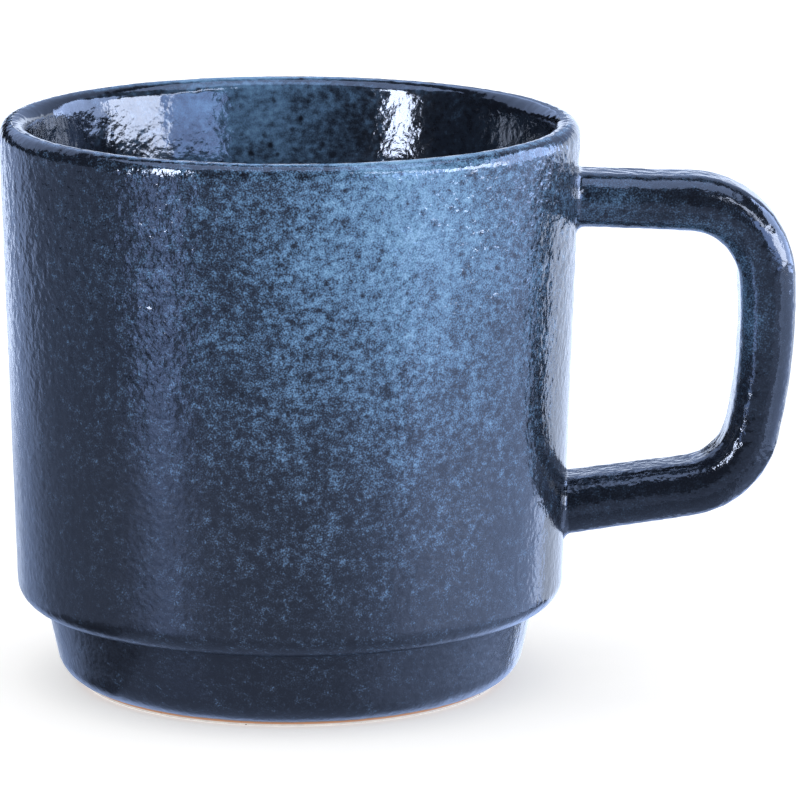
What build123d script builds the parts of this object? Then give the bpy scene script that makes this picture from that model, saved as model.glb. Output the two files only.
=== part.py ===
from build123d import *
from math import cos, radians, tan
import os

# A stackable stoneware mug: one clay cup with a stepped foot, a loop handle luted on with slip, and
# the glaze coats fired over them.
#
# Millimetres. The origin is the centre of the foot ring's standing face, +Z runs up the cup's axis,
# and the handle's loop lies in the XZ plane on the +X side.

# Cup. These are sizes over the glaze, as a ruler would find them.
rim_height = 84.6
rim_radius = 43.05
wall_draft = 1.8  # degrees the wall leans outwards on its way up
wall_thickness = 4.0  # at the lip
lip_rounding = 1.95
inner_lip_rounding = 2.3
mouth_taper = 10.0  # degrees the inside leans outwards at the mouth, as the foot of a stacked mug does
mouth_depth = 14.0  # below this the wall has one thickness
mouth_rounding = 40.0
shoulder_height = 12.0  # underside of the body, where the foot begins
shoulder_rounding = 3.7
groove_rounding = 0.5  # inside corner between the shoulder and the foot
foot_top_radius = 36.6
foot_base_radius = 34.1
foot_rounding = 4.75
floor_height = 8.0
floor_rounding = 14.0

# Foot ring, left bare so that it does not stick to the kiln shelf.
glaze_line_height = 0.45
ring_radius = 31.3
ring_width = 4.3
recess_depth = 2.6
recess_flare = 1.5  # the recess is this much narrower at its ceiling
ring_root = 3.0  # height to which the ring is carried into the foot

# Glaze coats.
glaze = 0.4
recess_glaze_margin = 0.8  # bare clay left between the recess's glaze and the ring

# Handle. Heights and sizes are over the glaze, on the loop's centreline.
handle_width = 13.0
handle_thickness = 8.2
handle_edge_rounding = 3.9
top_arm_height = 72.9  # where the centreline leaves the wall
top_arm_reach = 16.5  # straight run from the wall to the upper corner
top_arm_droop = 2.0  # degrees, falling away from the cup
upper_corner_radius = 11.8
upper_corner_turn = 84.6
grip_radius = 86.3
grip_turn = 15.7
lower_corner_radius = 11.25
lower_arm_droop = 7.9  # degrees, falling towards the cup
handle_embed = 5.0  # depth to which the loop is first drawn into the cup, before trimming

# Slip that lutes the handle on.
slip_thickness = 0.5
slip_fillet = 1.5
glazed_fillet = 1.1

# Profiles are drawn on the side away from the handle, so the revolved seam lies there too.
profile_plane = Plane(origin=(0, 0, 0), x_dir=(-1, 0, 0), z_dir=(0, 1, 0))
lip_crest_radius = rim_radius - wall_thickness / 2
above_rim = rim_height + 1


def wall_radius(height):
    """Radius of the glazed outer wall, carried straight through its roundings."""
    return rim_radius - (rim_height - height) * tan(radians(wall_draft))


def mouth_radius(height):
    """Radius of the glazed inside of the mouth, carried straight through the lip's rounding."""
    return rim_radius - wall_thickness - (rim_height - height) * tan(radians(mouth_taper))


def outside_outline(inset):
    """Half outline, drawn flat, of all within the outer surface, `inset` below the glazed one."""
    corners = [
        (0, rim_height - inset),
        (wall_radius(rim_height) - inset, rim_height - inset),
        (wall_radius(shoulder_height) - inset, shoulder_height + inset),
        (foot_top_radius - inset, shoulder_height + inset),
        (foot_base_radius - inset, glaze_line_height + inset),
        (0, glaze_line_height + inset),
    ]
    roundings = [
        lip_rounding - inset,
        shoulder_rounding - inset,
        groove_rounding + inset,
        foot_rounding - inset,
    ]
    with BuildSketch() as outline:
        with BuildLine():
            FilletPolyline(*corners, radius=roundings)
            Line(corners[-1], corners[0])
        make_face()
    return outline.sketch


def hollow_outline(inset):
    """Half outline, drawn flat, of the drinking space, `inset` beyond its glazed surface."""
    mouth_foot = rim_height - mouth_depth
    lower_thickness = wall_radius(mouth_foot) - mouth_radius(mouth_foot)
    corners = [
        (0, floor_height - inset),
        (wall_radius(floor_height) - lower_thickness + inset, floor_height - inset),
        (mouth_radius(mouth_foot) + inset, mouth_foot),
        (mouth_radius(rim_height - inset) + inset, rim_height - inset),
        (lip_crest_radius, rim_height - inset),
        (lip_crest_radius, above_rim),
        (0, above_rim),
    ]
    roundings = [floor_rounding + inset, mouth_rounding - inset, inner_lip_rounding - inset, 0, 0]
    with BuildSketch() as outline:
        with BuildLine():
            FilletPolyline(*corners, radius=roundings)
            Line(corners[-1], corners[0])
        make_face()
    return outline.sketch


def outside_form(inset):
    """Solid bounded by the cup's outer surface, used to trim what meets it."""
    with BuildPart() as form:
        with BuildSketch(profile_plane):
            add(outside_outline(inset))
        revolve(axis=Axis.Z)
    return form.part


def handle_loop(inset):
    """The handle's loop, `inset` below its glazed surface, with both ends running into the cup."""
    lower_corner_turn = 180 - top_arm_droop - upper_corner_turn - grip_turn - lower_arm_droop
    inner_end = rim_radius - handle_embed
    start = (inner_end, top_arm_height + handle_embed * tan(radians(top_arm_droop)))
    run = (handle_embed + top_arm_reach) / cos(radians(top_arm_droop))
    with BuildPart() as loop:
        with BuildLine(Plane.XZ) as path:
            top_arm = PolarLine(start, run, -top_arm_droop)
            upper_corner = JernArc(top_arm @ 1, top_arm % 1, upper_corner_radius, -upper_corner_turn)
            grip = JernArc(upper_corner @ 1, upper_corner % 1, grip_radius, -grip_turn)
            lower_corner = JernArc(grip @ 1, grip % 1, lower_corner_radius, -lower_corner_turn)
            return_run = ((lower_corner @ 1).X - inner_end) / cos(radians(lower_arm_droop))
            PolarLine(lower_corner @ 1, return_run, 180 + lower_arm_droop)
        with BuildSketch(Plane(path.line @ 0, x_dir=(0, 1, 0), z_dir=path.line % 0)):
            RectangleRounded(
                handle_width - 2 * inset,
                handle_thickness - 2 * inset,
                handle_edge_rounding - inset,
            )
        sweep(path=path.line)
    return loop.part


def filleted_union(form, loop, fillet_radius):
    """Cup form and loop in one solid, with a concave fillet round both roots of the handle."""
    with BuildPart() as union:
        add(form)
        add(loop)
        roots = new_edges(form, loop, combined=union.part)
        fillet(roots, radius=fillet_radius)
    return union.part


clay_form = outside_form(glaze)
glazed_form = outside_form(0)
clay_loop = handle_loop(glaze)
glazed_loop = handle_loop(0)

# Clay cup: wall, floor, stepped foot and bare foot ring, all one piece.
recess_radius = ring_radius - ring_width
with BuildPart() as cup_body:
    with BuildSketch(profile_plane):
        add(outside_outline(glaze))
        with BuildLine():
            Polyline((0, 0), (ring_radius, 0), (ring_radius, ring_root), (0, ring_root), close=True)
        make_face()
        add(hollow_outline(glaze), mode=Mode.SUBTRACT)
        with BuildLine():
            Polyline(
                (0, 0),
                (recess_radius, 0),
                (recess_radius - recess_flare, recess_depth),
                (0, recess_depth),
                close=True,
            )
        make_face(mode=Mode.SUBTRACT)
    revolve(axis=Axis.Z)
cup_body.part.label = "cup_body"

# Clay handle, trimmed to the wall with room for the slip.
with BuildPart() as handle:
    add(clay_loop)
    add(outside_form(glaze - slip_thickness), mode=Mode.SUBTRACT)
handle.part.label = "handle"

# Slip: a thin bed under each end of the handle, squeezed out into a fillet round it.
with BuildPart() as slip:
    add(filleted_union(clay_form, clay_loop, slip_fillet))
    add(clay_form, mode=Mode.SUBTRACT)
    add(handle.part, mode=Mode.SUBTRACT)
slip_joints = slip.solids().sort_by(Axis.Z)

with BuildPart() as upper_handle_slip_joint:
    add(slip_joints[-1])
upper_handle_slip_joint.part.label = "upper_handle_slip_joint"

with BuildPart() as lower_handle_slip_joint:
    add(slip_joints[0])
lower_handle_slip_joint.part.label = "lower_handle_slip_joint"

# Outer glaze: from the crest of the lip down to the glaze line on the foot.
with BuildPart() as outer_glaze:
    with BuildSketch(profile_plane):
        add(outside_outline(0))
        add(outside_outline(glaze), mode=Mode.SUBTRACT)
        with Locations((0, rim_height)):
            Rectangle(2 * lip_crest_radius, 2 * lip_rounding, mode=Mode.SUBTRACT)
        with Locations((0, 0)):
            Rectangle(2 * ring_radius, 2 * ring_root, mode=Mode.SUBTRACT)
    revolve(axis=Axis.Z)
    add(slip.part, mode=Mode.SUBTRACT)
    add(handle.part, mode=Mode.SUBTRACT)
outer_glaze.part.label = "outer_glaze"

# Liner glaze: the drinking surface, up to the crest of the lip.
with BuildPart() as liner_glaze:
    with BuildSketch(profile_plane):
        add(hollow_outline(glaze))
        add(hollow_outline(0), mode=Mode.SUBTRACT)
    revolve(axis=Axis.Z)
liner_glaze.part.label = "liner_glaze"

# Handle glaze: a sleeve over the handle and its slip fillets, ending on the outer glaze.
with BuildPart() as handle_glaze:
    add(filleted_union(glazed_form, glazed_loop, glazed_fillet))
    add(glazed_form, mode=Mode.SUBTRACT)
    add(handle.part, mode=Mode.SUBTRACT)
    add(slip.part, mode=Mode.SUBTRACT)
handle_glaze.part.label = "handle_glaze"

# Recess glaze: the coat on the ceiling of the recess, inside the foot ring.
with BuildPart() as recess_glaze:
    with BuildSketch(Plane.XY.offset(recess_depth)):
        Circle(recess_radius - recess_flare - recess_glaze_margin)
    extrude(amount=-glaze)
recess_glaze.part.label = "recess_glaze"

pieces = [
    cup_body,
    handle,
    upper_handle_slip_joint,
    lower_handle_slip_joint,
    outer_glaze,
    liner_glaze,
    handle_glaze,
    recess_glaze,
]
os.makedirs("parts", exist_ok=True)
for piece in pieces:
    export_step(piece.part, f"parts/{piece.part.label}.step")
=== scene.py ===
"""Looks for a stackable stoneware mug: glaze coats with their real relief over the packed clay.

Everything is in metres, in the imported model's own frame: the origin is the centre of the foot ring's
standing face, +Z runs up the cup's axis, and the handle's loop lies in the XZ plane on the +X side.
"""

import math

import bmesh
import bpy
import numpy as np
from mathutils import Matrix, Quaternion, Vector


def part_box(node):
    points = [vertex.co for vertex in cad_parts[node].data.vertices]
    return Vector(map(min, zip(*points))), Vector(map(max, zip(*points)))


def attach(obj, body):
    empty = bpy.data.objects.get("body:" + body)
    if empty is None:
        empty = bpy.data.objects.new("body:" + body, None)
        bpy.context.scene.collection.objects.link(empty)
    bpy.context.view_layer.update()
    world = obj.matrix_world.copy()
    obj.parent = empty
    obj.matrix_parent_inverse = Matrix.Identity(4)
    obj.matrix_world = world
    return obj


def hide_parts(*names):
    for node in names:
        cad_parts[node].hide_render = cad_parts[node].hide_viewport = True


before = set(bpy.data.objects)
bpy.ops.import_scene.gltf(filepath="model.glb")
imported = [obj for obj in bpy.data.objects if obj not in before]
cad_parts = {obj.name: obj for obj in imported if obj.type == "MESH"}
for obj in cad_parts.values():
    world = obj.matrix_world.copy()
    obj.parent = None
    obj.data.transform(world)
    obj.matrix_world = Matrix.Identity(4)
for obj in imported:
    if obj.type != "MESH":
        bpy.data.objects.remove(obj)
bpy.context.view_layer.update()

MM = 0.001

# ---------------------------------------------------------------------------------------------
# Camera

CAMERA_PLACE = (0.0, -872.5 * MM, 224.1 * MM)
CAMERA_LENS = 268.4  # millimetres, on the default 36 mm sensor
CAMERA_YAW = math.radians(1.078)  # turned towards +X
CAMERA_PITCH = math.radians(11.786)  # looking down
CAMERA_ROLL = math.radians(0.166)


def make_camera():
    data = bpy.data.cameras.new("camera")
    data.lens = CAMERA_LENS
    data.clip_start = 0.01
    data.clip_end = 50
    camera = bpy.data.objects.new("camera", data)
    bpy.context.scene.collection.objects.link(camera)
    heading = Matrix.Rotation(-CAMERA_YAW, 4, "Z")
    tilt = Matrix.Rotation(math.pi / 2 - CAMERA_PITCH, 4, "X")
    roll = Matrix.Rotation(CAMERA_ROLL, 4, "Z")
    camera.matrix_world = Matrix.Translation(CAMERA_PLACE) @ heading @ tilt @ roll
    bpy.context.scene.camera = camera


# ---------------------------------------------------------------------------------------------
# Sizes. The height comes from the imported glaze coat, and the rest are the mug's own driving sizes.

GLAZE = 0.4 * MM
RIM_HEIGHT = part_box("outer_glaze")[1].z
RIM_RADIUS = 43.05 * MM
WALL_DRAFT = math.radians(1.8)
WALL_THICKNESS = 4.0 * MM
LIP_ROUNDING = 1.95 * MM
INNER_LIP_ROUNDING = 2.3 * MM
MOUTH_TAPER = math.radians(10.0)
MOUTH_DEPTH = 14.0 * MM
MOUTH_ROUNDING = 40.0 * MM
CREST_RADIUS = RIM_RADIUS - WALL_THICKNESS / 2
SHOULDER_HEIGHT = 12.0 * MM
SHOULDER_ROUNDING = 3.7 * MM
GROOVE_ROUNDING = 0.5 * MM
FOOT_TOP_RADIUS = 36.6 * MM
FOOT_BASE_RADIUS = 34.1 * MM
FOOT_ROUNDING = 4.75 * MM
GLAZE_LINE = 0.45 * MM
RING_RADIUS = 31.3 * MM
FLOOR_HEIGHT = 8.0 * MM
FLOOR_ROUNDING = 14.0 * MM

HANDLE_WIDTH = 13.0 * MM
HANDLE_THICKNESS = 8.2 * MM
HANDLE_EDGE = 3.9 * MM
TOP_ARM_HEIGHT = 72.9 * MM
TOP_ARM_REACH = 16.5 * MM
TOP_ARM_DROOP = math.radians(2.0)
UPPER_CORNER = (11.8 * MM, math.radians(84.6))  # radius, turn
GRIP = (86.3 * MM, math.radians(15.7))
LOWER_CORNER_RADIUS = 11.25 * MM
LOWER_ARM_DROOP = math.radians(7.9)

# How finely the coats are meshed. A coat's hidden back is coarser than its face.
COLUMNS = 480  # round the cup
BACK_COLUMNS = COLUMNS // 2
OUTER_STEP, OUTER_BACK_STEP = 0.62 * MM, 2.2 * MM
LINER_STEP, LINER_BACK_STEP = 0.75 * MM, 2.4 * MM
HANDLE_SECTION_STEP, HANDLE_STATION_STEP = 0.40 * MM, 0.36 * MM
HANDLE_BACK_SECTION_STEP, HANDLE_BACK_STATION_STEP = 1.2 * MM, 1.5 * MM

# Where the light glaze was aimed at the inside, at the back of the mouth.
LINER_SPRAY = np.array((-7.0, 40.0, 84.0)) * MM


def wall_radius(height):
    return RIM_RADIUS - (RIM_HEIGHT - height) * math.tan(WALL_DRAFT)


def mouth_radius(height):
    return RIM_RADIUS - WALL_THICKNESS - (RIM_HEIGHT - height) * math.tan(MOUTH_TAPER)


# ---------------------------------------------------------------------------------------------
# Relief: how far the fired glaze stands off its nominal surface

HASH_PRIMES = (73856093, 19349663, 83492791)
SEED_PRIME = 2654435761
WORD = 0xFFFFFFFF  # the low 32 bits


def lattice_gradient(cell, seed):
    """A repeatable random vector for each lattice cell."""
    mixed = seed * SEED_PRIME
    for axis, prime in enumerate(HASH_PRIMES):
        mixed = mixed ^ cell[..., axis] * prime
    mixed = mixed & WORD
    parts = []
    for _ in range(3):
        mixed = (mixed * 1664525 + 1013904223) & WORD
        mixed = mixed ^ (mixed >> 15)
        parts.append((mixed & 0xFFFF) / 32767.5 - 1.0)
    return np.stack(parts, -1)


def noise(points, size, seed):
    """Smooth gradient noise, about -1 to 1, whose lumps are about `size` across."""
    far_corner = 1000.0  # keeps every cell's number positive
    place = points / size + far_corner
    cell = np.floor(place).astype(np.int64)
    inside = place - cell
    fade = inside**3 * (inside * (inside * 6 - 15) + 10)
    total = np.zeros(points.shape[:-1])
    for corner in np.ndindex(2, 2, 2):
        corner = np.array(corner)
        gradient = lattice_gradient(cell + corner, seed)
        weight = np.prod(np.where(corner, fade, 1 - fade), -1)
        total += weight * np.sum(gradient * (inside - corner), -1)
    return total


def smooth_step(low, high, value):
    t = np.clip((value - low) / (high - low), 0, 1)
    return t * t * (3 - 2 * t)


def peel(points):
    """Orange peel: pebbly lumps of about 1 to 2 mm, livelier in some patches than in others."""
    patches = 1 + 0.5 * noise(points, 14 * MM, 5)
    lumps = 0.14 * noise(points, 1.75 * MM, 2) + 0.10 * noise(points, 1.15 * MM, 3)
    return MM * patches * lumps


def slow_waves(points):
    return MM * 0.02 * noise(points, 6.0 * MM, 1)


def outer_relief(points):
    """Orange peel over slow waves. It is calmer on the lip and on the lower wall, where it ran."""
    height = points[..., 2]
    lively = 0.30 + 0.70 * smooth_step(36 * MM, 66 * MM, height)
    lively = lively * (1 - 0.6 * smooth_step(RIM_HEIGHT - 2.6 * MM, RIM_HEIGHT - 0.8 * MM, height))
    return slow_waves(points) + lively * peel(points)


def liner_relief(points):
    """The lip's peel, carried down the inside. It is calmest over the lighter glaze at the back,
    and on the floor, where the glaze pooled.
    """
    height = points[..., 2]
    from_spray = np.linalg.norm((points - LINER_SPRAY) * np.array((1, 1, 0)), axis=-1)
    lively = 0.22 + 0.50 * smooth_step(18 * MM, 42 * MM, from_spray)
    above_pool = 0.12 + 0.88 * smooth_step(FLOOR_HEIGHT + 2 * MM, FLOOR_HEIGHT + 20 * MM, height)
    squashed = points * np.array((0.6, 0.6, 1.0))  # makes the ripples wider than they are high
    ripples = MM * 0.055 * noise(squashed, 2.6 * MM, 7)
    share = smooth_step(0.3 * MM, 3 * MM, RIM_HEIGHT - height)
    inside = above_pool * (lively * peel(points) + ripples)
    return (1 - share) * outer_relief(points) + share * inside


def handle_relief(points):
    return slow_waves(points) + 0.6 * peel(points)


# ---------------------------------------------------------------------------------------------
# Mesh building


def rounded_outline(corners, roundings, step):
    """Points along a polyline whose inner corners are rounded by arcs. Flat 2-D, no point repeated."""
    finest_turn = math.radians(8)
    corners = [np.array(c, float) for c in corners]
    points = [corners[0]]

    def run_to(end):
        start = points[-1]
        count = max(1, round(np.linalg.norm(end - start) / step))
        points.extend(start + (end - start) * (i + 1) / count for i in range(count))

    for before, corner, after, radius in zip(corners, corners[1:], corners[2:], roundings):
        way_in = (corner - before) / np.linalg.norm(corner - before)
        way_out = (after - corner) / np.linalg.norm(after - corner)
        side = np.sign(way_in[0] * way_out[1] - way_in[1] * way_out[0])
        turn = math.acos(np.clip(way_in @ way_out, -1, 1))
        tangent = radius * math.tan(turn / 2)
        run_to(corner - way_in * tangent)
        normal = side * np.array((-way_in[1], way_in[0]))
        centre = points[-1] + normal * radius
        count = max(math.ceil(turn * radius / step), math.ceil(turn / finest_turn))
        for i in range(count):
            angle = turn * (i + 1) / count
            points.append(centre + radius * (way_in * math.sin(angle) - normal * math.cos(angle)))
    run_to(corners[-1])
    return np.array(points)


def outline_normals(points, side):
    """Unit normals of a 2-D outline, on the left of its run where side is 1 and the right for -1."""
    along = np.gradient(points, axis=0)
    along /= np.linalg.norm(along, axis=1, keepdims=True)
    return side * np.stack((-along[:, 1], along[:, 0]), 1)


def lathe(outline, normals, columns):
    """Turns a half outline round the cup's axis. Gives grids of points and of their normals."""
    angle = 2 * math.pi * np.arange(columns) / columns
    spin = np.stack((np.cos(angle), np.sin(angle)), 1)

    def turned(values):
        flat = values[:, None, 0:1] * spin[None]
        upright = np.repeat(values[:, None, 1:2], columns, 1)
        return np.concatenate((flat, upright), 2)

    return turned(outline), turned(normals)


def grid_quads(rows, columns, first, flip, keep):
    """Quads of a grid that wraps round its columns, for the cells marked in keep."""
    row, column = np.nonzero(keep)
    following = (column + 1) % columns
    ring = (
        first + row * columns + column,
        first + row * columns + following,
        first + (row + 1) * columns + following,
        first + (row + 1) * columns + column,
    )
    quads = np.stack(ring, 1)
    return quads[:, ::-1] if flip else quads


def boundary_loops(mesh):
    """The open edges of a bmesh, grouped into loops, in the order of the mesh's own edges."""
    open_list = [e for e in mesh.edges if e.is_boundary]
    open_edges = set(open_list)
    loops = []
    for first in open_list:
        if first not in open_edges:
            continue
        open_edges.discard(first)
        waiting = [first]
        loop = []
        while waiting:
            edge = waiting.pop()
            loop.append(edge)
            for vertex in edge.verts:
                for other in vertex.link_edges:
                    if other in open_edges:
                        open_edges.discard(other)
                        waiting.append(other)
        loops.append(loop)
    return loops


def loop_middle(loop):
    total = Vector()
    for edge in loop:
        total += edge.verts[0].co + edge.verts[1].co
    return total / (2 * len(loop))


def close_middle(mesh, ring, middle, flip):
    """Closes a ring of vertices with a fan of triangles to a point in its middle."""
    hub = mesh.verts.new(middle)
    for here, following in zip(ring, ring[1:] + ring[:1]):
        fan = [here, following, hub]
        mesh.faces.new(fan[::-1] if flip else fan)


def join_edges(mesh):
    """Bridges each open loop to the nearest other one, which leaves the mesh closed."""
    loops = boundary_loops(mesh)
    for edge in [e for loop in loops for e in loop]:
        edge.smooth = False
    while loops:
        loop = loops.pop()
        middle = loop_middle(loop)
        partner = min(loops, key=lambda other: (loop_middle(other) - middle).length)
        loops.remove(partner)
        bmesh.ops.bridge_loops(mesh, edges=loop + partner)


def make_skin(name, face, back, face_keep=None, back_keep=None, flip=False, centre=None):
    """A closed coat: a fine grid for its face, a coarser one for its back, and edges between them.

    `centre` closes both grids' last rows on a point each, (face point, back point), for a dish.
    """
    quads = []
    first = 0
    for grid, keep, turned in ((face, face_keep, flip), (back, back_keep, not flip)):
        rows, columns = grid.shape[0] - 1, grid.shape[1]
        if keep is None:
            keep = np.ones((rows, columns), bool)
        quads += grid_quads(rows, columns, first, turned, keep).tolist()
        first += grid.shape[0] * columns
    points = np.concatenate((face.reshape(-1, 3), back.reshape(-1, 3)))
    mesh = bmesh.new()
    corners = [mesh.verts.new(p) for p in points]
    for quad in quads:
        mesh.faces.new([corners[i] for i in quad])
    if centre is not None:
        face_count = face.shape[0] * face.shape[1]
        close_middle(mesh, corners[face_count - face.shape[1] : face_count], centre[0], flip)
        close_middle(mesh, corners[-back.shape[1] :], centre[1], not flip)
    loose = [v for v in mesh.verts if not v.link_faces]
    bmesh.ops.delete(mesh, geom=loose, context="VERTS")
    join_edges(mesh)
    bmesh.ops.triangulate(mesh, faces=[f for f in mesh.faces if len(f.verts) > 4])
    for f in mesh.faces:
        f.smooth = True
    data = bpy.data.meshes.new(name)
    mesh.to_mesh(data)
    mesh.free()
    piece = bpy.data.objects.new(name, data)
    bpy.context.scene.collection.objects.link(piece)
    return piece


# ---------------------------------------------------------------------------------------------
# Handle path and section


def handle_path():
    """Centreline of the loop, from the wall at the top round to the wall below.

    Gives the lengths along it, its (x, z) points and its headings there.
    """
    turned = TOP_ARM_DROOP + UPPER_CORNER[1] + GRIP[1]
    lower_turn = math.pi - LOWER_ARM_DROOP - turned
    step = 0.05 * MM
    runs = [
        (TOP_ARM_REACH / math.cos(TOP_ARM_DROOP), 0.0),
        (UPPER_CORNER[0] * UPPER_CORNER[1], UPPER_CORNER[1]),
        (GRIP[0] * GRIP[1], GRIP[1]),
        (LOWER_CORNER_RADIUS * lower_turn, lower_turn),
        (30 * MM, 0.0),
    ]
    ends = np.cumsum([0] + [run for run, _ in runs])
    headings = -TOP_ARM_DROOP - np.cumsum([0] + [turn for _, turn in runs])
    along = np.arange(0, ends[-1], step)
    heading = np.interp(along + step / 2, ends, headings)
    moves = step * np.stack((np.cos(heading), np.sin(heading)), 1)
    start = np.array((RIM_RADIUS, TOP_ARM_HEIGHT))
    points = start + np.concatenate((np.zeros((1, 2)), np.cumsum(moves, 0)[:-1]))
    low_side = points[:, 1] < TOP_ARM_HEIGHT / 2
    wall = np.array([wall_radius(z) for z in points[:, 1]])
    reached = np.nonzero(low_side & (points[:, 0] <= wall))[0][0]
    return along[:reached], points[:reached], np.interp(along[:reached], ends, headings)


def handle_section(inset, step):
    """The loop's section, (across, outwards) with its outward normals, once round."""
    half_width = HANDLE_WIDTH / 2 - inset
    half_thickness = HANDLE_THICKNESS / 2 - inset
    corners = [
        (0, half_thickness),
        (half_width, half_thickness),
        (half_width, -half_thickness),
        (-half_width, -half_thickness),
        (-half_width, half_thickness),
        (0, half_thickness),
    ]
    points = rounded_outline(corners, [HANDLE_EDGE - inset] * 4, step)
    closed = np.concatenate((points[-2:-1], points, points[1:2]))
    normals = outline_normals(closed, 1)[1:-1]
    return points[:-1], normals[:-1]


def thickness_share(along, length):
    """Hand-formed loop: fullest at the upper corner, leanest low on the grip."""
    share = along / length
    knots = (0.0, 0.12, 0.30, 0.45, 0.62, 0.75, 1.0)
    values = (0.978, 0.985, 1.045, 1.0, 0.945, 0.97, 1.03)
    return np.interp(share, knots, values)


ROOT_LEAN = 7 * MM  # how far from the wall the rows start to lean, at each root
SIDEWAYS = np.array((0, 1, 0))


def handle_stations(length, step):
    """Places along the loop, each with its root: 1 near the upper one, -1 near the lower one, or 0."""
    root_steps = (0.0, 0.06, 0.14, 0.26, 0.42, 0.62, 0.88, 1.2, 1.6)  # fine enough for the fillet
    near = [d * MM for d in root_steps]
    near += list(np.arange(2.0 * MM, ROOT_LEAN, step))
    middle = np.linspace(ROOT_LEAN, length - ROOT_LEAN, round((length - 2 * ROOT_LEAN) / step))
    stations = [(d, 1) for d in near] + [(d, 0) for d in middle]
    return stations + [(length - d, -1) for d in reversed(near)]


def root_fillet(outwardness, from_wall, root):
    """How far each point flares where it meets the wall, and how far its normal turns to the wall's.

    The fillet is fuller where the coat pooled: under the top arm, and under the lower one.
    """
    outer_fillet, inner_fillet = (0.8 * MM, 1.4 * MM) if root == 1 else (1.1 * MM, 0.5 * MM)
    fillet = inner_fillet + (outer_fillet - inner_fillet) * (outwardness + 1) / 2
    lift = np.clip(1 - from_wall / fillet, 0, 1)
    return fillet * (1 - np.sqrt(1 - lift**2)), lift


def slide_to_wall(end, offsets, away, inset):
    """How far each point of the end row slides along the arm to lie on the wall."""
    feet = end + offsets
    for _ in range(4):
        reach = np.sqrt(wall_radius(feet[:, 2]) ** 2 - feet[:, 1] ** 2) - inset
        feet = feet + ((reach - feet[:, 0]) / away[0])[:, None] * away
    return (feet - end) @ away


def away_from_axis(points):
    """Level unit vectors that point out from the cup's axis."""
    level = points * np.array((1, 1, 0))
    return level / np.linalg.norm(level, axis=1, keepdims=True)


def handle_grid(inset, section_step, station_step, relief):
    """Grid of points on the loop, from the upper root round to the lower one.

    Near each root the rows lean until the last one lies on the curved wall, and flare into it.
    """
    along, centre, heading = handle_path()
    length = along[-1]
    section, section_normals = handle_section(inset, section_step)

    def middle(place):
        return np.array((np.interp(place, along, centre[:, 0]), 0, np.interp(place, along, centre[:, 1])))

    rows = []
    row_normals = []
    for place, root in handle_stations(length, station_step):
        turn = np.interp(place, along, heading)
        forward = np.array((math.cos(turn), 0, math.sin(turn)))
        outward = np.array((-math.sin(turn), 0, math.cos(turn)))
        across, thick = section[:, 0], section[:, 1] * thickness_share(place, length)
        from_wall = place if root == 1 else length - place
        if root:
            flare, lift = root_fillet(section_normals[:, 1], from_wall, root)
            across = across + section_normals[:, 0] * flare
            thick = thick + section_normals[:, 1] * flare
        offsets = across[:, None] * SIDEWAYS + thick[:, None] * outward
        points = middle(place) + offsets
        normals = section_normals[:, 0:1] * SIDEWAYS + section_normals[:, 1:2] * outward
        if root:
            away = forward * root
            slide = slide_to_wall(middle(0.0 if root == 1 else length), offsets, away, inset)
            points = points + (slide * (1 - from_wall / ROOT_LEAN))[:, None] * away
            normals = normals * np.sqrt(1 - lift**2)[:, None] + away_from_axis(points) * lift[:, None]
        rows.append(points)
        row_normals.append(normals)
    points, normals = np.array(rows), np.array(row_normals)
    if relief is not None:
        points = points + normals * relief(points)[..., None]
    sunk = 0.15 * MM  # the end rows dip under the wall's coat
    for row in (0, -1):
        points[row] -= away_from_axis(points[row]) * sunk
    return points


# ---------------------------------------------------------------------------------------------
# Pieces


def cup_outline(inset, step):
    """The cup's outer outline from the lip's crest to the glaze line, `inset` below the surface."""
    corners = [
        (CREST_RADIUS, RIM_HEIGHT - inset),
        (wall_radius(RIM_HEIGHT) - inset, RIM_HEIGHT - inset),
        (wall_radius(SHOULDER_HEIGHT) - inset, SHOULDER_HEIGHT + inset),
        (FOOT_TOP_RADIUS - inset, SHOULDER_HEIGHT + inset),
        (FOOT_BASE_RADIUS - inset, GLAZE_LINE + inset),
        (0, GLAZE_LINE + inset),
    ]
    roundings = [
        LIP_ROUNDING - inset,
        SHOULDER_ROUNDING - inset,
        GROOVE_ROUNDING + inset,
        FOOT_ROUNDING - inset,
    ]
    points = rounded_outline(corners, roundings, step)
    normals = outline_normals(points, 1)
    kept = points[:, 0] >= RING_RADIUS
    return points[kept], normals[kept]


def hollow_outline(inset, step):
    """The drinking space's outline from the lip's crest to near the middle of the floor."""
    innermost = 0.8 * MM
    mouth_foot = RIM_HEIGHT - MOUTH_DEPTH
    lower_thickness = wall_radius(mouth_foot) - mouth_radius(mouth_foot)
    corners = [
        (CREST_RADIUS, RIM_HEIGHT - inset),
        (mouth_radius(RIM_HEIGHT - inset) + inset, RIM_HEIGHT - inset),
        (mouth_radius(mouth_foot) + inset, mouth_foot),
        (wall_radius(FLOOR_HEIGHT) - lower_thickness + inset, FLOOR_HEIGHT - inset),
        (innermost, FLOOR_HEIGHT - inset),
    ]
    roundings = [INNER_LIP_ROUNDING - inset, MOUTH_ROUNDING - inset, FLOOR_ROUNDING + inset]
    points = rounded_outline(corners, roundings, step)
    return points, outline_normals(points, -1)


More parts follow.
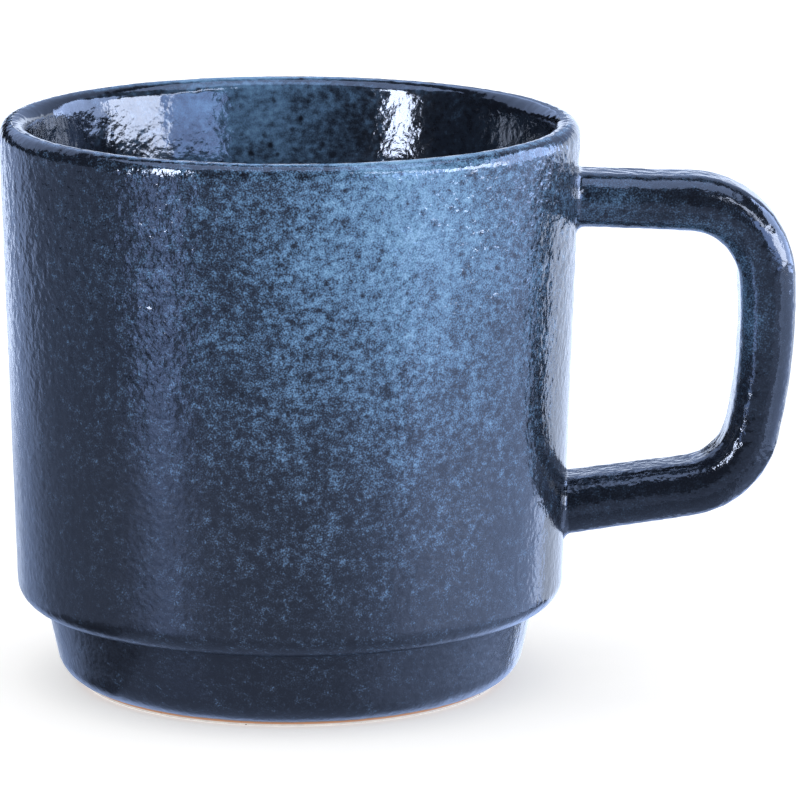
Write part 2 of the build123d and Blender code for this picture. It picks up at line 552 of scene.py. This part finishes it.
def outside_roots(points):
    """Marks the grid cells that lie outside the handle's two footprints on the wall.

    The footprints are a little smaller than the loop, so the wall's coat runs in under its edge.
    """
    middles = (points[:-1] + points[1:]) / 2
    middles = (middles + np.roll(middles, -1, 1)) / 2
    side_lap, height_lap = 0.9 * MM, 0.7 * MM
    half_width = HANDLE_WIDTH / 2 - side_lap
    half_thickness = HANDLE_THICKNESS / 2 - height_lap
    keep = np.ones(middles.shape[:2], bool)
    _, centre, _ = handle_path()
    for height in (centre[0][1], centre[-1][1]):
        across = np.abs(middles[..., 1]) / half_width
        up = np.abs(middles[..., 2] - height) / half_thickness
        keep &= (across**4 + up**4 > 1) | (middles[..., 0] < 0)
    return keep


def add_outer_glaze():
    """The outside coat, from the lip's crest to the glaze line, left open at the handle's roots."""
    outline, normals = cup_outline(0, OUTER_STEP)
    face, face_normals = lathe(outline, normals, COLUMNS)
    face = face + face_normals * outer_relief(face)[..., None]
    back_outline, back_normals = cup_outline(GLAZE, OUTER_BACK_STEP)
    back, _ = lathe(back_outline, back_normals, BACK_COLUMNS)
    piece = make_skin("outer_glaze_coat", face, back, outside_roots(face), outside_roots(back), flip=True)
    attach(piece, "root")
    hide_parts("outer_glaze")
    return piece


def add_liner_glaze():
    """The inside coat, from the lip's crest down to the floor."""
    outline, normals = hollow_outline(0, LINER_STEP)
    face, face_normals = lathe(outline, normals, COLUMNS)
    face = face + face_normals * liner_relief(face)[..., None]
    back_outline, back_normals = hollow_outline(GLAZE, LINER_BACK_STEP)
    back, _ = lathe(back_outline, back_normals, BACK_COLUMNS)
    centre = ((0, 0, face[-1, :, 2].mean()), (0, 0, FLOOR_HEIGHT - GLAZE))
    piece = make_skin("liner_glaze_coat", face, back, centre=centre)
    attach(piece, "root")
    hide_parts("liner_glaze")
    return piece


def add_handle_glaze():
    """The loop's coat, from wall to wall."""
    face = handle_grid(0, HANDLE_SECTION_STEP, HANDLE_STATION_STEP, handle_relief)
    back = handle_grid(GLAZE, HANDLE_BACK_SECTION_STEP, HANDLE_BACK_STATION_STEP, None)
    piece = make_skin("handle_glaze_coat", face, back, flip=True)
    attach(piece, "root")
    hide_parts("handle_glaze")
    return piece


# ---------------------------------------------------------------------------------------------
# Materials


class Shading:
    """A small helper that wires nodes. Sizes are in metres, in the model's own frame."""

    def __init__(self, name):
        self.material = bpy.data.materials.new(name)
        self.material.use_nodes = True
        self.nodes = self.material.node_tree.nodes
        self.links = self.material.node_tree.links
        self.shader = self.nodes["Principled BSDF"]
        self.place = self.nodes.new("ShaderNodeTexCoord").outputs["Object"]

    def put(self, socket, value):
        if isinstance(value, bpy.types.NodeSocket):
            self.links.new(value, socket)
        else:
            socket.default_value = value

    def math(self, operation, *values):
        node = self.nodes.new("ShaderNodeMath")
        node.operation = operation
        for socket, value in zip(node.inputs, values):
            self.put(socket, value)
        return node.outputs[0]

    def stretched(self, scale):
        """The place, multiplied by `scale` along each axis."""
        node = self.nodes.new("ShaderNodeMapping")
        self.put(node.inputs["Vector"], self.place)
        node.inputs["Scale"].default_value = scale
        return node.outputs[0]

    def noise(self, size, detail=2.0, roughness=0.5, place=None, shift=0.0):
        """Noise about 0.5, with lumps about `size` across."""
        node = self.nodes.new("ShaderNodeTexNoise")
        node.noise_dimensions = "4D"
        self.put(node.inputs["Vector"], place or self.place)
        node.inputs["W"].default_value = shift
        node.inputs["Scale"].default_value = 1 / size
        node.inputs["Detail"].default_value = detail
        node.inputs["Roughness"].default_value = roughness
        return node.outputs[0]

    def cells(self, size, place=None):
        """Distance to scattered points, in cells of about `size`: 0 at a point."""
        node = self.nodes.new("ShaderNodeTexVoronoi")
        self.put(node.inputs["Vector"], place or self.place)
        node.inputs["Scale"].default_value = 1 / size
        return node.outputs["Distance"]

    def ease(self, value, low, high, to_low=0.0, to_high=1.0):
        """Smooth step from `to_low` at `low` to `to_high` at `high`."""
        node = self.nodes.new("ShaderNodeMapRange")
        node.interpolation_type = "SMOOTHSTEP"
        values = (value, low, high, to_low, to_high)
        for key, v in zip(("Value", "From Min", "From Max", "To Min", "To Max"), values):
            self.put(node.inputs[key], v)
        return node.outputs[0]

    def distance(self, point, scale):
        """Distance to a point, in space stretched by `scale`."""
        node = self.nodes.new("ShaderNodeVectorMath")
        node.operation = "DISTANCE"
        self.put(node.inputs[0], self.stretched(scale))
        node.inputs[1].default_value = [p * s for p, s in zip(point, scale)]
        return node.outputs["Value"]

    def along(self, axis):
        node = self.nodes.new("ShaderNodeSeparateXYZ")
        self.put(node.inputs[0], self.place)
        return node.outputs[axis]

    def height(self):
        return self.along("Z")

    def ramp(self, value, stops):
        node = self.nodes.new("ShaderNodeValToRGB")
        self.put(node.inputs[0], value)
        elements = node.color_ramp.elements
        while len(elements) < len(stops):
            elements.new(0.5)
        for element, (position, colour) in zip(elements, stops):
            element.position = position
            element.color = (*colour, 1)
        return node.outputs[0]

    def mix(self, share, a, b):
        node = self.nodes.new("ShaderNodeMix")
        node.data_type = "RGBA"
        colours = [s for s in node.inputs if s.type == "RGBA"]
        self.put(node.inputs[0], share)
        self.put(colours[0], a)
        self.put(colours[1], b)
        return [s for s in node.outputs if s.type == "RGBA"][0]

    def bump(self, height_mm):
        node = self.nodes.new("ShaderNodeBump")
        node.inputs["Strength"].default_value = 1.0
        node.inputs["Distance"].default_value = MM
        self.put(node.inputs["Height"], height_mm)
        self.put(self.shader.inputs["Normal"], node.outputs[0])

    def off_middle(self, value):
        """A noise's value less its middle, 0.5."""
        return self.math("SUBTRACT", value, 0.5)

    def total(self, *terms):
        """Sum of (share, value) pairs."""
        result = 0.0
        for share, value in terms:
            result = self.math("MULTIPLY_ADD", value, share, result)
        return result


GLAZE_STOPS = [
    (0.00, (0.009, 0.012, 0.021)),
    (0.22, (0.016, 0.024, 0.042)),
    (0.38, (0.040, 0.071, 0.128)),
    (0.60, (0.105, 0.210, 0.380)),
    (0.80, (0.175, 0.345, 0.575)),
    (1.00, (0.270, 0.480, 0.740)),
]
LIGHTEST_TONE = 1.25  # the tone of the last stop
IRON_BROWN = (0.24, 0.085, 0.030, 1)
TOASTED = (0.58, 0.24, 0.09, 1)
IRON_SPECK = (0.22, 0.13, 0.08, 1)


def sprayed_cover(s, sprays):
    """How thickly the light glaze fell on each place, from 0."""
    cover = 0.0
    for centre, reach, strength in sprays:
        away = s.math("DIVIDE", s.distance(centre, (1, 1, 0.76)), reach)
        left = s.math("MAXIMUM", s.math("SUBTRACT", 1.0, away), 0.0)
        fall = s.math("MULTIPLY", s.math("POWER", left, 1.5), strength)
        cover = s.math("MAXIMUM", fall, cover)
    return cover


def glaze_tone_with_painted_lip_light(s, cover, flecks, fine_grain):
    """How light the glaze is, from blue-black at 0 to its lightest blue at LIGHTEST_TONE, with a painted
    highlight along the lip's crest and painted shade just below it.
    """
    drift = s.noise(8 * MM, 2, 0.5, shift=1)
    patch = s.noise(2.6 * MM, 2, 0.5, shift=2)
    fleck = s.noise(0.95 * MM, 1.5, 0.45, s.stretched((0.85, 0.85, 1.05)), shift=3)
    grain = s.noise(0.22 * MM, 0, 0.5, shift=4)
    mottled = s.total(
        (1.0, cover),
        (0.35, s.off_middle(drift)),
        (0.60 * flecks, s.off_middle(patch)),
        (1.00 * flecks, s.off_middle(fleck)),
        (1.05 * fine_grain, s.off_middle(grain)),
    )
    # Small dark spots, where the light glaze missed.
    spot_distance = s.cells(2.3 * MM)
    spot_size = s.math("MULTIPLY", s.noise(1.7 * MM, 1, 0.5, shift=6), 0.55)
    spots = s.ease(spot_distance, spot_size, 0.0, 0.0, 0.40)
    spotted = s.math("SUBTRACT", mottled, spots)
    # Painted highlight and painted shade: the tone is lighter over the lip's crest, standing in for the
    # overhead light's reflection there, and darker in a thin band just below it, standing in for the
    # shade under the lip.
    height = s.height()
    painted_crest_highlight = s.ease(height, RIM_HEIGHT - 0.28 * MM, RIM_HEIGHT - 0.08 * MM, 0.0, 0.25)
    # Painted shade: a darker band from about 0.75 mm to 0.25 mm below the crest.
    painted_lip_shade = s.ease(height, RIM_HEIGHT - 0.75 * MM, RIM_HEIGHT - 0.50 * MM, 0.0, 0.20)
    painted_lip_shade_end = s.ease(height, RIM_HEIGHT - 0.40 * MM, RIM_HEIGHT - 0.25 * MM, 0.0, 0.20)
    return s.total((1.0, spotted), (1.0, painted_crest_highlight), (-1.0, painted_lip_shade), (1.0, painted_lip_shade_end))


def glaze_roughness(s, top, bottom):
    """Glossy at the top and satin low on the wall, except on the side towards the handle."""
    low = s.ease(s.height(), 66 * MM, 30 * MM, 0.0, bottom - top)
    satin = s.math("MULTIPLY", low, s.ease(s.along("X"), 38 * MM, 28 * MM))
    uneven = s.total((0.16, s.off_middle(s.noise(1.8 * MM, 3, 0.6, shift=7))))
    return s.math("ADD", s.math("ADD", satin, uneven), top)


def glaze_pebbles(s, bottom, top):
    """Fine orange peel and pits, as a height in millimetres. The lip is calmer."""
    height = s.height()
    pits = s.ease(s.cells(3.7 * MM, s.stretched((0.8, 0.8, 1.5))), 0.0, 0.14)
    pebbles = s.total(
        (0.150, s.noise(0.85 * MM, 2, 0.45, shift=8)),
        (0.010, s.noise(0.26 * MM, 1, 0.5, shift=9)),
        (0.022, pits),
    )
    pebbles = s.math("MULTIPLY", pebbles, s.ease(height, 34 * MM, 66 * MM, bottom, top))
    calm_lip = s.ease(height, RIM_HEIGHT - 2.4 * MM, RIM_HEIGHT - 0.8 * MM, 1.0, 0.4)
    return s.math("MULTIPLY", pebbles, calm_lip)


def glaze_material(name, sprays, roughness, mottle, pebble):
    """Two sprayed glazes over each other: flecks of light blue that thin out over blue-black.

    `sprays` are (centre, reach, strength): where the light glaze was aimed and how far it fell.
    `roughness` is the value high on the mug and the value low on it. `mottle` scales the contrast of
    the flecks and of the finest grain, and `pebble` the fine orange peel low and high on the mug.
    """
    s = Shading(name)
    tone = glaze_tone_with_painted_lip_light(s, sprayed_cover(s, sprays), *mottle)
    colour = s.ramp(s.math("DIVIDE", tone, LIGHTEST_TONE), GLAZE_STOPS)
    # It is thin and brown at the glaze line.
    edge = s.ease(s.height(), 0.90 * MM, 0.60 * MM)
    s.put(s.shader.inputs["Base Color"], s.mix(edge, colour, IRON_BROWN))
    s.put(s.shader.inputs["Roughness"], glaze_roughness(s, *roughness))
    s.shader.inputs["IOR"].default_value = 1.5
    s.bump(glaze_pebbles(s, *pebble))
    return s.material


def clay_material(name, colour):
    """Bare fired stoneware: pale, with iron specks, toasted where the glaze stops above the foot."""
    s = Shading(name)
    shade = s.noise(1.6 * MM, 4, 0.65, shift=11)
    darker = [c * 0.80 for c in colour]
    lighter = [min(1.0, c * 1.08) for c in colour]
    body = s.ramp(shade, [(0.30, darker), (0.70, lighter)])
    specks = s.ease(s.cells(1.3 * MM), 0.16, 0.05)
    body = s.mix(specks, body, IRON_SPECK)
    toasted = s.ease(s.height(), GLAZE_LINE - 0.22 * MM, GLAZE_LINE - 0.10 * MM, 0.0, 0.9)
    s.put(s.shader.inputs["Base Color"], s.mix(toasted, body, TOASTED))
    s.put(s.shader.inputs["Roughness"], s.ease(shade, 0.3, 0.7, 0.70, 0.88))
    s.bump(s.total((0.04, s.noise(0.35 * MM, 3, 0.6, shift=12))))
    return s.material


def paint(piece, material):
    piece.data.materials.clear()
    piece.data.materials.append(material)


# ---------------------------------------------------------------------------------------------
# Studio

HAZE = (0.72, 0.97, 1.62)  # the pale, bluish surroundings
BLUE_HAZE = (0.62, 0.92, 1.80)  # the haze beside and under the lamps
PALE = (0.86, 1.0, 1.30)  # the backdrop
WHITE = (0.85, 0.98, 1.30)  # the lamps
STUDIO_CENTRE = Vector((0, 0, 45 * MM))
LIGHT_DISTANCE = 1.6


def way_out(azimuth, elevation):
    """Unit direction from the mug. Azimuth 0 is the camera's side and 90 is +X, in degrees."""
    a, e = math.radians(azimuth), math.radians(elevation)
    return Vector((math.sin(a) * math.cos(e), -math.cos(a) * math.cos(e), math.sin(e)))


def panel_side(span):
    """Length that covers a span of degrees, at the lights' distance."""
    return 2 * LIGHT_DISTANCE * math.tan(math.radians(span[1] - span[0]) / 2)


def add_light(name, data, tint):
    """An area light that shows only in the gloss."""
    data.color = tint
    light = bpy.data.objects.new(name, data)
    light.visible_camera = False
    light.visible_diffuse = False
    bpy.context.scene.collection.objects.link(light)
    return light


def add_panel(name, azimuths, elevations, radiance, tint, roll=0):
    """A soft panel that fills a span of directions, in degrees. `roll` turns it in its own plane."""
    data = bpy.data.lights.new(name, "AREA")
    data.shape = "RECTANGLE"
    data.size = panel_side(azimuths)
    data.size_y = panel_side(elevations)
    data.energy = radiance * data.size * data.size_y * math.pi
    panel = add_light(name, data, tint)
    out = way_out(sum(azimuths) / 2, sum(elevations) / 2)
    panel.location = STUDIO_CENTRE + out * LIGHT_DISTANCE
    panel.rotation_mode = "QUATERNION"
    panel.rotation_quaternion = out.to_track_quat("Z", "Y") @ Quaternion((0, 0, 1), math.radians(roll))


def add_table_glow(name, radius, radiance):
    """The pale table in front of the mug, as the handle's underside and the foot reflect it."""
    data = bpy.data.lights.new(name, "AREA")
    data.shape = "DISK"
    data.size = 2 * radius
    area = math.pi * radius**2
    data.energy = radiance * area * math.pi
    data.spread = math.radians(150)
    glow = add_light(name, data, HAZE)
    glow.location = (60 * MM, -115 * MM, -1 * MM)
    glow.rotation_euler = (math.pi, 0, 0)  # shines up


def add_lights():
    """Soft panels all round, named for where they stand as the camera sees the mug."""
    low = (-30, -2)
    add_panel("left_key", (-58, -47.5), (4.5, 42), 28.0, WHITE)
    add_panel("left_strip", (-60, -46), (-14, -1), 2.3, BLUE_HAZE)
    add_panel("left_strip_foot", (-60, -46), (-30, -14), 1.3, BLUE_HAZE)
    add_panel("left_side", (-150, -64), (-27, -2), 0.42, HAZE)
    add_panel("left_corner", (-160, -128), low, 0.5, HAZE)
    add_panel("front_low", (-62, 50), low, 0.43, HAZE)
    add_panel("front_right", (22, 60), low, 0.32, HAZE)
    add_panel("right_side", (50, 130), low, 1.6, HAZE)
    add_panel("right_table", (50, 150), (-58, -30), 0.5, HAZE)
    add_panel("backdrop", (125, 205), (-22, 2), 1.6, PALE)
    add_panel("back_table", (150, 205), (-60, -22), 0.9, HAZE)
    add_panel("backdrop_upper", (125, 185), (2, 10), 1.6, PALE)
    add_panel("backdrop_top", (130, 185), (10, 50), 0.55, HAZE)
    add_panel("backdrop_left", (185, 236), (13, 45), 0.9, HAZE)
    add_panel("right_fill", (32, 60), (1, 22), 4.0, BLUE_HAZE)
    add_panel("right_key", (60, 91), (0, 22), 15.0, WHITE)
    add_panel("right_back_fill", (91, 130), (-4, 36), 5.2, HAZE)
    add_panel("right_strip", (32, 62), (30, 37), 9.0, WHITE, roll=-41)
    add_panel("overhead", (-38, 38), (66, 110), 2.4, HAZE)
    add_table_glow("table_glow", 98 * MM, 0.32)
    add_table_glow("table_glow_edge", 130 * MM, 0.33)


def add_world():
    """White all round. It lights everything evenly and doesn't show in the gloss."""
    world = bpy.data.worlds.new("studio")
    bpy.context.scene.world = world
    world.use_nodes = True
    background = world.node_tree.nodes["Background"]
    background.inputs["Color"].default_value = (1, 1, 1, 1)
    background.inputs["Strength"].default_value = 1.0
    world.cycles_visibility.glossy = False


def floor_material():
    s = Shading("floor_paper")
    shade = s.noise(50 * MM, 3, 0.5)
    paper = s.ramp(shade, [(0.3, (0.86, 0.86, 0.86)), (0.7, (0.90, 0.90, 0.90))])
    s.put(s.shader.inputs["Base Color"], paper)
    s.shader.inputs["Emission Color"].default_value = (1, 1, 1, 1)
    s.shader.inputs["Emission Strength"].default_value = 0.4
    s.shader.inputs["Roughness"].default_value = 0.9
    s.shader.inputs["Specular IOR Level"].default_value = 0.0
    return s.material


def add_floor():
    side = 4.0
    drop = -0.02 * MM  # keeps the floor clear of the foot ring's standing face
    corners = [(-side, -side, drop), (side, -side, drop), (side, side, drop), (-side, side, drop)]
    data = bpy.data.meshes.new("floor")
    data.from_pydata(corners, [], [(0, 1, 2, 3)])
    floor = bpy.data.objects.new("floor", data)
    bpy.context.scene.collection.objects.link(floor)
    floor.visible_glossy = False
    floor.visible_diffuse = False
    floor.visible_shadow = False
    paint(floor, floor_material())


# ---------------------------------------------------------------------------------------------
# The scene

make_camera()

outer_coat = add_outer_glaze()
liner_coat = add_liner_glaze()
handle_coat = add_handle_glaze()

paint(
    outer_coat,
    glaze_material(
        "outer_glaze_finish",
        sprays=[
            ((18.5 * MM, -38.5 * MM, 76 * MM), 68 * MM, 0.93),
            ((16.5 * MM, -39.5 * MM, 86 * MM), 29 * MM, 1.15),
            ((-22 * MM, 36 * MM, 72 * MM), 66 * MM, 0.88),
        ],
        roughness=(0.10, 0.30),
        mottle=(1.0, 1.0),
        pebble=(0.50, 1.15),
    ),
)
paint(
    liner_coat,
    glaze_material(
        "liner_glaze_finish",
        sprays=[(tuple(LINER_SPRAY), 50 * MM, 0.80)],
        roughness=(0.09, 0.12),
        mottle=(0.8, 0.3),
        pebble=(0.20, 0.36),
    ),
)
paint(
    handle_coat,
    glaze_material(
        "handle_glaze_finish",
        sprays=[
            ((46 * MM, -8 * MM, 71 * MM), 26 * MM, 0.50),
            ((46 * MM, -2 * MM, 38 * MM), 15 * MM, 0.55),
            ((59 * MM, 0 * MM, 57 * MM), 18.5 * MM, 1.80),
            ((60 * MM, 0 * MM, 82 * MM), 18 * MM, 0.55),
        ],
        roughness=(0.12, 0.20),
        mottle=(0.5, 0.8),
        pebble=(0.85, 0.45),
    ),
)
paint(
    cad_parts["recess_glaze"],
    glaze_material(
        "recess_glaze_finish",
        sprays=[],
        roughness=(0.3, 0.3),
        mottle=(1.0, 1.0),
        pebble=(0.5, 0.5),
    ),
)
for node in ("cup_body", "handle"):
    paint(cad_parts[node], clay_material(node + "_stoneware", (0.84, 0.80, 0.74)))
for node in ("upper_handle_slip_joint", "lower_handle_slip_joint"):
    paint(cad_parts[node], clay_material(node + "_slip", (0.66, 0.60, 0.52)))

add_lights()
add_world()
add_floor()
bpy.context.scene.view_settings.view_transform = "Standard"
